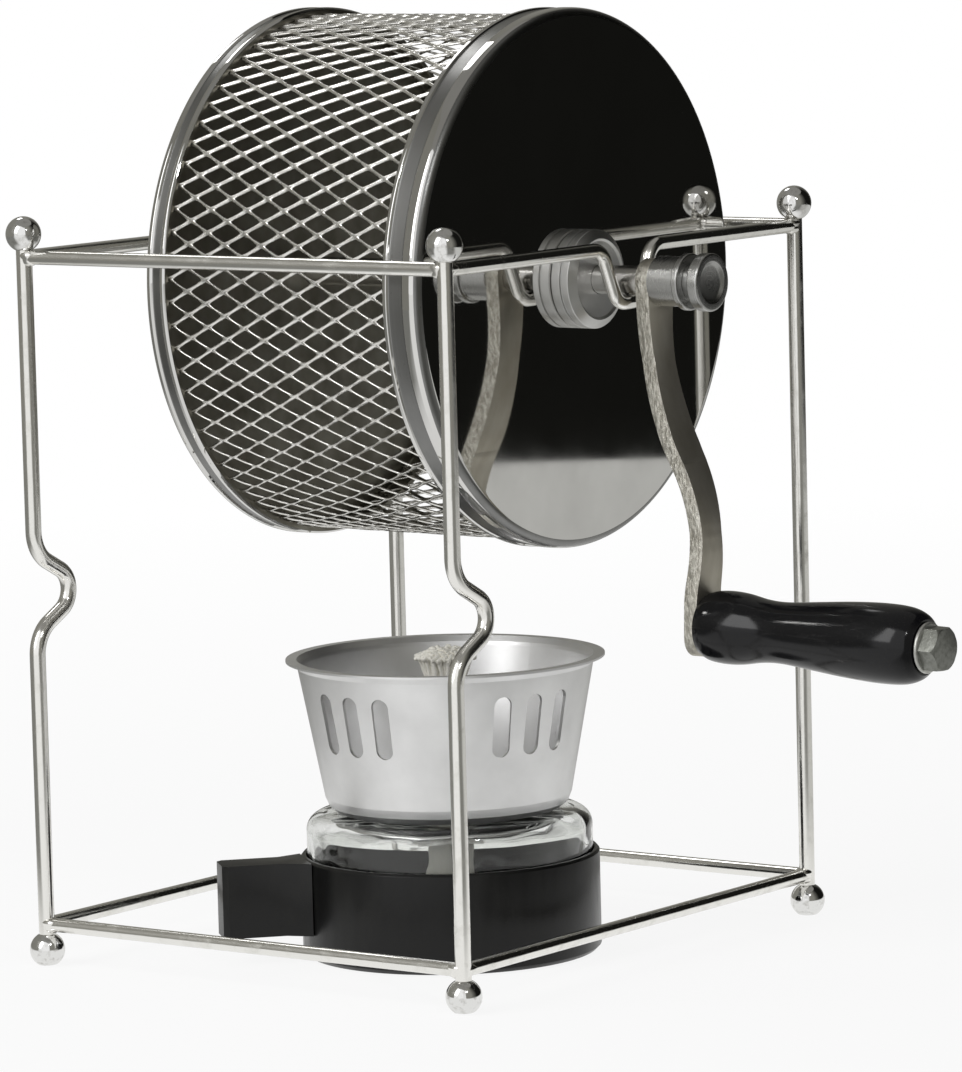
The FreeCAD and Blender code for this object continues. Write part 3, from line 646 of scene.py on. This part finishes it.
sheet_metal = Finish("expanded_steel")
dust = sheet_metal.between(sheet_metal.noise(sheet_metal.spot(), 0.35, 4.0), 0.45, 0.75)
sheet_metal = sheet_metal.surface(
    Base_Color=sheet_metal.blend(dust, (0.84, 0.83, 0.80), (0.62, 0.60, 0.55)), Metallic=1.0,
    Roughness=0.24 + 0.14 * dust)
sheet = Repeat("expanded_sheet", mesh_columns * (2 * mesh_rows - 1))
columns = sheet.input("Columns", mesh_columns)
row = sheet.calc("FLOOR", sheet.calc("DIVIDE", sheet.index, columns))
stagger = sheet.calc("MULTIPLY", sheet.calc("MODULO", row, 2.0), 0.5)
column = sheet.calc("ADD", sheet.calc("MODULO", sheet.index, columns), stagger)
turned_by = sheet.calc("MULTIPLY", sheet.calc("DIVIDE", column, columns), 2 * math.pi)
row_place = sheet.calc("ADD", sheet.calc("MULTIPLY", row, sheet.input("Row step", mesh_length / 2)),
                       sheet.input("First row", cage_low.y + 0.1 * mm + mesh_length / 2))
tile = diamond_tile()
sheet.grow(tile, sheet.triple(y=row_place), sheet.triple(y=turned_by),
           sheet.triple(z=sheet.input("Axle height", axle_z)), sheet_metal, weld=0.02 * mm)
thick = tile.modifiers.new("thick", "SOLIDIFY")
thick.thickness = sheet_thick
thick.offset = 0
drum_mesh = finished("drum_mesh", tile)
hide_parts("mesh_cage")
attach(drum_mesh, "drum")


# Rear cap: a spun disc of polished steel with a beaded band that grips the mesh,
# held by a turned nut on the axle.
cap_low, cap_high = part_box("rear_cap")
rim = (cap_high.z - cap_low.z) / 2 / mm
rear_face = -cap_high.y / mm
rear_front = -cap_low.y / mm
band = rim - 0.6
cap_sheet = 0.6
bore = axle_radius / mm + 0.1
cage_hold = cage_radius / mm + 0.05
rear_cap = turned("polished_rear_cap", [
    (bore, rear_face, 0), (62, rear_face, 1), (63.5, rear_face + 0.6, 1), (66, rear_face + 0.6, 1),
    (67.5, rear_face, 1), (rim - 1.4, rear_face, 0.8), (rim, rear_face + 0.9, 0.7),
    (rim, rear_face + 2.0, 0.5), (band, rear_face + 2.6, 0.4), (band, rear_front - 2.1, 0.4),
    (rim, rear_front - 1.5, 0.4), (rim, rear_front - 0.6, 0.4), (band, rear_front, 0.2),
    (cage_hold, rear_front, 0.1), (cage_hold, rear_front - cap_sheet, 0.1),
    (band - cap_sheet, rear_front - cap_sheet, 0.2), (band - cap_sheet, rear_face + cap_sheet + 0.3, 0.5),
    (bore, rear_face + cap_sheet + 0.3, 0)], LAID_DOWN, 256)
polish = Finish("spun_polish")
haze = polish.between(polish.noise(polish.spot(), 0.035, 3.0), 0.40, 0.75)
polish = polish.surface(
    Base_Color=polish.blend(haze, (0.70, 0.695, 0.68), (0.62, 0.615, 0.60)), Metallic=1.0,
    Roughness=0.025 + 0.03 * haze)
# The caps' inner side: painted shade for the dark inside of the drum, darker still in random blotches.
inside = Finish("painted_inner_shade")
inner_shade_blotches = inside.between(inside.noise(inside.spot(), 0.08, 4.0), 0.35, 0.70)
inside = inside.surface(
    Base_Color=inside.blend(inner_shade_blotches, (0.30, 0.29, 0.25), (0.18, 0.165, 0.135)), Metallic=1.0,
    Roughness=0.30 + 0.15 * inner_shade_blotches)
band_metal = turned_finish("satin_band", (0.24, 0.24, 0.235), axis_point, 0.22, 0.9)
drum_middle = Vector((0, (cage_low.y + cage_high.y) / 2, axle_z))
bead_low, bead_high = band + 0.2, rim + 0.1


def dress_cap(cap):
    """A cap's disc and beads are polished, its band is satin, and its inner side is dull and painted dark,
    as painted shade inside the drum.
    """
    for finish in (polish, inside, band_metal):
        cap.data.materials.append(finish)
    for face in cap.data.polygons:
        radial = Vector((face.center.x, 0, face.center.z - axle_z))
        out = radial.length / mm
        radial.normalize()
        if face.normal.dot((drum_middle - face.center).normalized()) > 0.3:
            face.material_index = 1
        elif face.normal.dot(radial) > 0.2 and not bead_low < out < bead_high:
            face.material_index = 2
    return cap


dress_cap(rear_cap)
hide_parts("rear_cap")
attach(rear_cap, "drum")


# Front lid: spun like the rear cap, with a wider band. Its disc is flat and polished
# like a mirror, and rounds over into the band. The hub nut clamps it on.
lid_low, lid_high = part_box("lid")
lid_face = -lid_low.y / mm
lid_band = -lid_high.y / mm
lid_round = 3.0
lid_rim = lid_face - lid_round
lid_hold = cage_radius / mm + 0.4
lid_bore = axle_radius / mm + 0.1
lid = turned("polished_lid", [
    (lid_bore, lid_face, 0), (rim - lid_round - 0.5, lid_face, 0), (rim, lid_face, lid_round - 0.05),
    (rim, lid_rim - 1.9, 0.4), (band, lid_rim - 2.5, 0.4), (band, lid_band + 2.1, 0.4),
    (rim, lid_band + 1.6, 0.4), (rim, lid_band + 0.6, 0.4), (band, lid_band, 0.2),
    (lid_hold, lid_band, 0.1), (lid_hold, lid_band + cap_sheet, 0.1),
    (band - cap_sheet, lid_band + cap_sheet, 0.2),
    (band - cap_sheet, lid_face - cap_sheet, 1.8), (lid_bore, lid_face - cap_sheet, 0)], LAID_DOWN, 256)
dress_cap(lid)
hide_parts("lid")
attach(lid, "lid")


# Hub nuts: turned aluminium, a disc with a wide chamfer round a shallow dish.
# The front one has a groove round it, and the rear one holds the rear cap.
nut_metal = turned_finish("turned_aluminium", (0.64, 0.64, 0.63), axis_point, 0.28, 2.2)


def hub_nut(name, node, face, back, body):
    low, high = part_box(node)
    edge = (high.z - low.z) / 2 / mm
    way = 1 if face > back else -1
    outline = [
        (bore, back, 0), (edge - 0.3, back, 0.2), (edge, back + 0.4 * way, 0.2),
        (edge, back + 3.0 * way, 0.1), (edge - 0.5, back + 3.2 * way, 0.1),
        (edge - 0.5, back + 3.6 * way, 0.1), (edge, back + 3.8 * way, 0.1),
        (edge, face - 1.6 * way, 0.3), (edge - 2.5, face, 0.2), (edge - 3.2, face - 0.5 * way, 0.2),
        (bore, face - 0.5 * way, 0)]
    piece = turned(name, outline, LAID_DOWN, 128)
    paint(piece, nut_metal)
    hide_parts(node)
    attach(piece, body)


for name, node, body in (("front_hub_nut", "hub_nut", "hub_nut"), ("rear_hub_nut", "rear_nut", "drum")):
    low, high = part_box(node)
    ends = (-low.y / mm, -high.y / mm)
    face, back = ends if node == "hub_nut" else ends[::-1]
    hub_nut(name, node, face, back, body)


# Crank arm: a flat steel bar bent in a slow S, with round ends. Its faces are dull
# plated, its edges are rounded over and its sides are left rough from the press.
def softened(name, node, width, finish, body):
    """A merged copy of a CAD node with its sharp edges rounded over, in its place."""
    shell = bmesh.new()
    shell.from_mesh(nodes[node].data)
    bmesh.ops.remove_doubles(shell, verts=shell.verts, dist=0.002 * mm)
    bmesh.ops.dissolve_limit(shell, angle_limit=math.radians(0.4), verts=shell.verts, edges=shell.edges)
    mesh = bpy.data.meshes.new(name)
    shell.to_mesh(mesh)
    shell.free()
    piece = paint(new_piece(name, mesh), finish)
    soft = piece.modifiers.new("soft_edges", "BEVEL")
    soft.width = width * mm
    soft.segments = 3
    soft.limit_method = "ANGLE"
    soft.angle_limit = math.radians(34)
    soft.harden_normals = True
    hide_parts(node)
    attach(piece, body)
    return piece


arm_metal = Finish("plated_arm")
fine = arm_metal.noise(arm_metal.spot((1, 1, 0.5)), 0.9, 5.0, 0.65)
side = arm_metal.node("ShaderNodeSeparateXYZ", None, {
    0: arm_metal.node("ShaderNodeNewGeometry", out=1)}, out=0)
edge = arm_metal.between(abs(side), 0.50, 0.92)
cloud = arm_metal.between(arm_metal.noise(arm_metal.spot((1, 1, 0.4)), 0.14, 3.0), 0.35, 0.70)
pits = arm_metal.between(fine, 0.38, 0.66)
face_shade = arm_metal.blend(cloud, (0.56, 0.53, 0.46), (0.44, 0.41, 0.34))
side_shade = arm_metal.blend(pits, (0.36, 0.34, 0.29), (0.74, 0.72, 0.65))
arm_metal = arm_metal.surface(
    Base_Color=arm_metal.blend(edge, face_shade, side_shade), Metallic=0.92,
    Roughness=0.36 - 0.12 * edge + 0.14 * fine, Normal=arm_metal.bump(fine * (0.06 + edge), 0.6))
softened("forged_arm", "crank_arm", 0.75, arm_metal, "drum")


# Bush and cap nut on the end of the axle: plated turned steel. The bush has a flange
# in front, and the cap nut is a spool with a dished face.
cap_metal = turned_finish("plated_steel", (0.46, 0.46, 0.45), axis_point, 0.18, 2.6)
bush_low, bush_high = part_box("crank_bush")
bush_front, bush_back = -bush_low.y / mm, -bush_high.y / mm
flange = (bush_high.z - bush_low.z) / 2 / mm
bush = turned("flanged_bush", [
    (bore, bush_back, 0), (flange - 0.95, bush_back, 0.1), (flange - 0.95, bush_front - 2, 0.3),
    (flange, bush_front - 2, 0.4), (flange, bush_front, 0.5), (bore, bush_front, 0)], LAID_DOWN, 96)
spool_low, spool_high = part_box("cap_nut")
spool_face, spool_back = -spool_low.y / mm, -spool_high.y / mm
spool_edge = (spool_high.z - spool_low.z) / 2 / mm
spool_waist = 5.2
axle_end = 97.05
spool = turned("spool_nut", [
    (bore, spool_back, 0), (spool_waist, spool_back, 0.2), (spool_waist, spool_face - 3.4, 0.7),
    (spool_edge, spool_face - 3.4, 0.5), (spool_edge, spool_face, 0.6), (spool_edge - 2.2, spool_face, 0.5),
    (spool_edge - 3.2, spool_face - 0.8, 0.5), (0, spool_face - 1.1, 0), (0, axle_end, 0),
    (bore, axle_end, 0)], LAID_DOWN, 96)
for piece, node in ((bush, "crank_bush"), (spool, "cap_nut")):
    paint(piece, cap_metal)
    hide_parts(node)
    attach(piece, "drum")


# Grip: a turned wooden handle in thick black gloss lacquer, bored for its bolt. Its
# axis droops a little from the arm, and each station is a share of its length and a radius.
grip_droop = math.radians(1.6)
grip_length = 70.2
washer_half = 0.5
grip_gap = 0.3
grip_bore = 3.1
grip_stations = [(0, 8.7), (0.036, 9.7), (0.1, 10.1), (0.172, 9.8), (0.266, 8.7), (0.36, 8.5),
                 (0.503, 9.4), (0.66, 10.4), (0.805, 10.9), (0.912, 10.6), (0.97, 9.4), (1, 7.6)]
washer_low, washer_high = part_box("grip_washer")
down_grip = Vector((0, -math.cos(grip_droop), -math.sin(grip_droop)))
grip_start = (washer_low + washer_high) / 2 - down_grip * (washer_half + grip_gap + grip_length) * mm
ON_GRIP = Matrix.Translation(grip_start) @ Matrix.Rotation(math.radians(90) + grip_droop, 4, "X")


def smooth_run(points, steps):
    """Points on a smooth curve that passes through the given ones."""
    ends = [points[0] * 2 - points[1]] + points + [points[-1] * 2 - points[-2]]
    run = []
    for a, b, c, d in zip(ends, ends[1:], ends[2:], ends[3:]):
        for step in range(steps):
            t = step / steps
            run.append(0.5 * (2 * b + (c - a) * t + (2 * a - 5 * b + 4 * c - d) * t * t
                              + (3 * b - 3 * c + d - a) * t ** 3))
    return run + [points[-1]]


profile = smooth_run([Vector((radius, along * grip_length)) for along, radius in grip_stations], 6)
grip = turned("lacquered_grip", [(grip_bore, 0, 0)] + [(point.x, point.y, 0) for point in profile]
              + [(grip_bore, grip_length, 0)], ON_GRIP, 96)
lacquer = Finish("black_lacquer")
ripple = lacquer.noise(lacquer.spot((1, 0.35, 1)), 0.16, 2.0)
specks = lacquer.between(lacquer.noise(lacquer.spot(), 2.8, 2.0), 0.62, 0.74)
lacquer = lacquer.surface(
    Base_Color=lacquer.blend(specks, (0.006, 0.006, 0.007), (0.022, 0.021, 0.020)),
    Roughness=0.13 + 0.12 * specks, Specular_IOR_Level=0.30, Normal=lacquer.bump(ripple, 0.08))
paint(grip, lacquer)
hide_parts("grip")
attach(grip, "grip")


# Grip bolt and washer: dull zinc-plated steel. The head is a rounded hexagon, and the
# bolt is screwed into the end of the arm through the grip.
zinc = Finish("zinc_plate")
bloom = zinc.between(zinc.noise(zinc.spot(), 0.8, 4.0), 0.40, 0.70)
zinc = zinc.surface(
    Base_Color=zinc.blend(bloom, (0.23, 0.235, 0.215), (0.17, 0.175, 0.155)), Metallic=0.85,
    Roughness=0.34 + 0.14 * bloom, Normal=zinc.bump(bloom, 0.03))
bright_zinc = Finish("bright_zinc")
bloom = bright_zinc.between(bright_zinc.noise(bright_zinc.spot(), 0.8, 4.0), 0.40, 0.70)
bright_zinc = bright_zinc.surface(
    Base_Color=bright_zinc.blend(bloom, (0.56, 0.56, 0.53), (0.40, 0.40, 0.37)), Metallic=0.8,
    Roughness=0.30 + 0.14 * bloom)
softened("round_bolt", "grip_bolt", 0.6, zinc, "drum")
softened("bolt_washer", "grip_washer", 0.2, bright_zinc, "drum")


# Burner holder: a black moulded dish with a box tab to carry it by. It is satin, with
# a fine moulded grain and places that are rubbed.
moulding = Finish("black_moulding")
grain = moulding.noise(moulding.spot(), 1.8, 4.0, 0.6)
rub = moulding.between(moulding.noise(moulding.spot((1, 1, 0.4)), 0.10, 4.0), 0.50, 0.75)
moulding = moulding.surface(
    Base_Color=moulding.blend(rub, (0.004, 0.004, 0.004), (0.009, 0.009, 0.008)),
    Roughness=0.26 + 0.08 * grain + 0.10 * rub, Specular_IOR_Level=0.30,
    Normal=moulding.bump(grain, 0.03))
softened("moulded_holder", "burner_holder", 1.0, moulding, "burner")


# Spirit jar: thick pressed glass with a rounded shoulder, standing in the holder. The
# glass is a little uneven inside and out.
burner_low, burner_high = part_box("flame_cup")
burner_axis = ((burner_low.x + burner_high.x) / 2, (burner_low.y + burner_high.y) / 2, 0)
ON_BURNER = Matrix.Translation(burner_axis)
jar_low, jar_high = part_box("spirit_jar")
jar_foot, jar_top = jar_low.z / mm, jar_high.z / mm
jar_round = (jar_high.x - jar_low.x) / 2 / mm
jar_wall = 2.5
neck = 9.5
jar = turned("glass_jar", [
    (0, jar_foot, 0), (jar_round, jar_foot, 4), (jar_round, jar_top, 4.6), (neck, jar_top, 0.5),
    (neck, jar_top - jar_wall, 0.5), (jar_round - jar_wall, jar_top - jar_wall, 3.4),
    (jar_round - jar_wall, jar_foot + jar_wall, 3), (0, jar_foot + jar_wall, 0)], ON_BURNER, 160)
glass = Finish("pressed_glass")
waves = glass.noise(glass.spot((1, 1, 1.6)), 0.055, 1.0)
glass = glass.surface(
    Base_Color=(0.82, 0.83, 0.81), Roughness=0.02 + 0.05 * waves, Transmission_Weight=1.0,
    IOR=1.48, Normal=glass.bump(waves, 1.6))
paint(jar, glass)
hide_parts("spirit_jar")
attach(jar, "lamp")


# Wick tube: a plain metal collar and tube that hangs in the jar's neck and leads the
# wick, dull from the heat.
tube_metal = Finish("plain_tube")
stain = tube_metal.between(tube_metal.noise(tube_metal.spot(), 0.3, 4.0), 0.4, 0.7)
tube_metal = tube_metal.surface(
    Base_Color=tube_metal.blend(stain, (0.60, 0.60, 0.59), (0.42, 0.40, 0.37)), Metallic=1.0,
    Roughness=0.30 + 0.12 * stain)
paint(nodes["wick_tube"], tube_metal)


# Wick: a bundle of off-white cotton yarn in the tube. Its loose ends bend outwards and
# fluff out on top.
wick_low, wick_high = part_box("wick")
wick_top, wick_foot = wick_high.z / mm, wick_low.z / mm
wick_round = (wick_high.x - wick_low.x) / 2 / mm
yarn_ends = 150
yarn_thick = 0.62 * mm
yarn_spread = 6.6 * mm
yarn_lean = 0.20
golden_turn = 2.39996
cotton = Finish("cotton")
fibre = cotton.noise(cotton.spot((1, 1, 0.2)), 1.6, 4.0)
cotton = cotton.surface(
    Base_Color=cotton.blend(fibre, (0.98, 0.97, 0.92), (0.90, 0.87, 0.77)), Roughness=0.95,
    Normal=cotton.bump(fibre, 0.5))
bundle = turned("wick_bundle", [
    (0, wick_foot, 0), (wick_round, wick_foot, 0.5), (wick_round, wick_top - 13, 0.5),
    (wick_round - 1, wick_top - 12, 0.5), (wick_round - 1, wick_top - 5, 2.5),
    (0, wick_top - 4, 0)], ON_BURNER, 64)
paint(bundle, cotton)
tuft = Repeat("yarn_tuft", yarn_ends)
share = tuft.calc("SQRT", tuft.calc("DIVIDE", tuft.calc("ADD", tuft.index, 0.5), tuft.count))
swing = tuft.calc("MULTIPLY", tuft.index, tuft.input("Turn", golden_turn))
scatter = tuft.calc("SINE", tuft.calc("MULTIPLY", tuft.index, 12.99))
chance = tuft.calc("FRACT", tuft.calc("MULTIPLY", scatter, 437.5))
reach = tuft.calc("MULTIPLY", share, tuft.input("Spread", yarn_spread))
drop = tuft.calc("MULTIPLY", tuft.calc("POWER", share, 2.0), tuft.input("Drop", -2.2 * mm))
rise = tuft.calc("ADD", drop, tuft.calc("MULTIPLY", chance, tuft.input("Uneven", -0.9 * mm)))
lean = tuft.calc("MULTIPLY", share, tuft.input("Lean", yarn_lean))
sway = tuft.calc("MULTIPLY", tuft.calc("SUBTRACT", chance, 0.5), 0.35)
end = wire("yarn_end", [Vector(point) * mm for point in (
    (-0.3, 0, -9.0), (-0.1, 0.2, -6.5), (-0.2, -0.1, -4.0), (0.2, 0.1, -2.0), (0.3, -0.2, -0.3),
    (0.7, 0.3, 0.9), (1.3, 0.1, 1.5), (1.9, -0.4, 1.2))], yarn_thick, 8)
tuft.grow(end, tuft.triple(tuft.calc("MULTIPLY", reach, tuft.calc("COSINE", swing)),
                           tuft.calc("MULTIPLY", reach, tuft.calc("SINE", swing)), rise),
          tuft.triple(sway, lean, swing),
          tuft.triple(burner_axis[0], burner_axis[1], (wick_top - 2.8) * mm), cotton)
fluff = finished("wick_fluff", end)
for piece in (bundle, fluff):
    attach(piece, "wick")
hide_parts("wick")


# Flame cup: a spun aluminium bowl with a turned-out lip, and slots punched through its
# wall in groups of three.
cup_metal = Finish("spun_aluminium")
cup_spot = cup_metal.spot((1, 1, 0), burner_axis)
cup_radius = cup_metal.node("ShaderNodeVectorMath", {"operation": "LENGTH"}, {0: cup_spot}, out=1)
cup_height = cup_metal.node("ShaderNodeSeparateXYZ", None, {0: cup_metal.spot()}, out=2)
rings = cup_metal.noise(cup_metal.node("ShaderNodeCombineXYZ", None, {
    0: cup_radius, 1: cup_height, 2: 0.0}), 2.4, 3.0, 0.7)
haze = cup_metal.between(cup_metal.noise(cup_metal.spot(), 0.06, 4.0), 0.35, 0.75)
cup_metal = cup_metal.surface(
    Base_Color=cup_metal.blend(haze, (0.80, 0.80, 0.80), (0.70, 0.70, 0.70)), Metallic=0.92,
    Roughness=0.32 + 0.08 * rings + 0.06 * haze, Normal=cup_metal.bump(rings, 0.012))
paint(nodes["flame_cup"], cup_metal)
